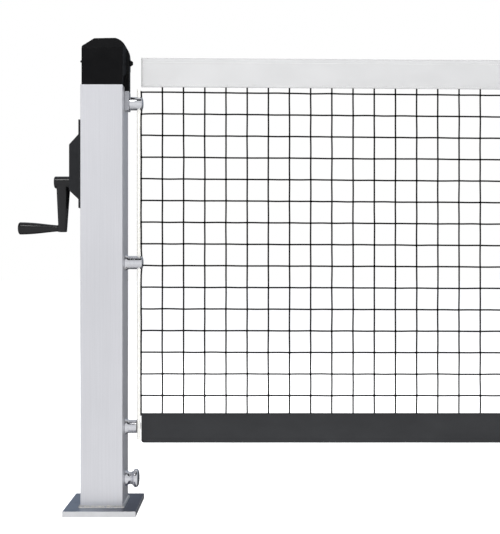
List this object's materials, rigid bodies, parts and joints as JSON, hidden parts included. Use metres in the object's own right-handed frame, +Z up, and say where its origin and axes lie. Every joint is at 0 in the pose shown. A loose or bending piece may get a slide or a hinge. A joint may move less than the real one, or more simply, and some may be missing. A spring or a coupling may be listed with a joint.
{
  "type": "pickleball net post",
  "caption": "Square free-standing net post with a crank winch, pulley cap and lacing studs, holding the laced end section of a square-mesh net.",
  "frame": {"origin": "on the ground, at the middle of the base plate's underside and of the post", "axes": "+X towards the net, +Y to the back, +Z up along the post"},
  "size_m": [1.026, 0.144, 0.95],
  "materials": {
    "steel_plate": "satin galvanised",
    "silver_post": "satin silver anodised",
    "weld": "as welded",
    "cap_plastic": "moulded, fine texture",
    "crank_plastic": "moulded glass-filled nylon, satin",
    "winch_coat": "black powder coat",
    "zinc_steel": "bright zinc plate",
    "stud_chrome": "polished chrome",
    "bronze": "sintered bronze",
    "white_nylon": "turned nylon",
    "white_rod": "pultruded fibreglass rod, smooth",
    "headband_tape": "coated woven polyester tape",
    "bottom_tape": "woven polyester tape",
    "net_cord": "braided polyethylene cord"
  },
  "bodies": {
    "post": {"base_plate": "steel_plate", "post_tube": "silver_post", "foot_weld": "weld", "cap_body": "cap_plastic", "cap_screw": "cap_plastic", "cable_guide": "cap_plastic", "pulley_axle": "zinc_steel", "head_bracket": "silver_post", "winch_flange": "winch_coat", "winch_housing": "winch_coat", "flange_screw_1": "zinc_steel", "flange_screw_2": "zinc_steel", "flange_screw_3": "zinc_steel", "flange_screw_4": "zinc_steel", "frame_rivet_lower": "zinc_steel", "frame_rivet_upper": "zinc_steel", "winch_frame": "zinc_steel", "worm_bush_outer": "bronze", "worm_bush_inner": "bronze", "drum_axle": "zinc_steel", "axle_clip": "zinc_steel", "lacing_stud_top": "stud_chrome", "lacing_stud_middle": "stud_chrome", "lacing_stud_bottom": "stud_chrome", "tie_off_stud": "stud_chrome", "stud_nut_top": "zinc_steel", "stud_nut_middle": "zinc_steel", "stud_nut_bottom": "zinc_steel", "stud_nut_foot": "zinc_steel", "lacing_rod": "white_rod", "net_headband": "headband_tape", "net_bottom_band": "bottom_tape", "net_mesh": "net_cord"},
    "crank": {"worm_shaft": "zinc_steel", "crank_arm": "crank_plastic", "crank_set_screw": "zinc_steel", "grip_spindle": "zinc_steel"},
    "grip": {"crank_grip": "crank_plastic"},
    "drum": {"worm_wheel": "bronze", "cable_drum": "zinc_steel", "drive_pin": "zinc_steel"},
    "pulley": {"pulley_wheel": "white_nylon", "pulley_bush": "bronze"}
  },
  "joints": [
    {"name": "crank_turn", "type": "hinge", "parent": "post", "child": "crank", "pos_m": [0, 0, 0.661], "axis": [1, 0, 0], "continuous": true},
    {"name": "grip_spin", "type": "hinge", "parent": "crank", "child": "grip", "pos_m": [-0.1, 0, 0.5675], "axis": [1, 0, 0], "continuous": true},
    {"name": "drum_turn", "type": "hinge", "parent": "post", "child": "drum", "pos_m": [-0.00375, 0, 0.691], "axis": [0, 1, 0], "continuous": true},
    {"name": "pulley_turn", "type": "hinge", "parent": "post", "child": "pulley", "pos_m": [0.00425, 0, 0.883], "axis": [0, 1, 0], "continuous": true}
  ],
  "couplings": [
    {"joint": "drum_turn", "follows": "crank_turn", "ratio": 0.047619},
    {"joint": "pulley_turn", "follows": "crank_turn", "ratio": 0.028571}
  ]
}
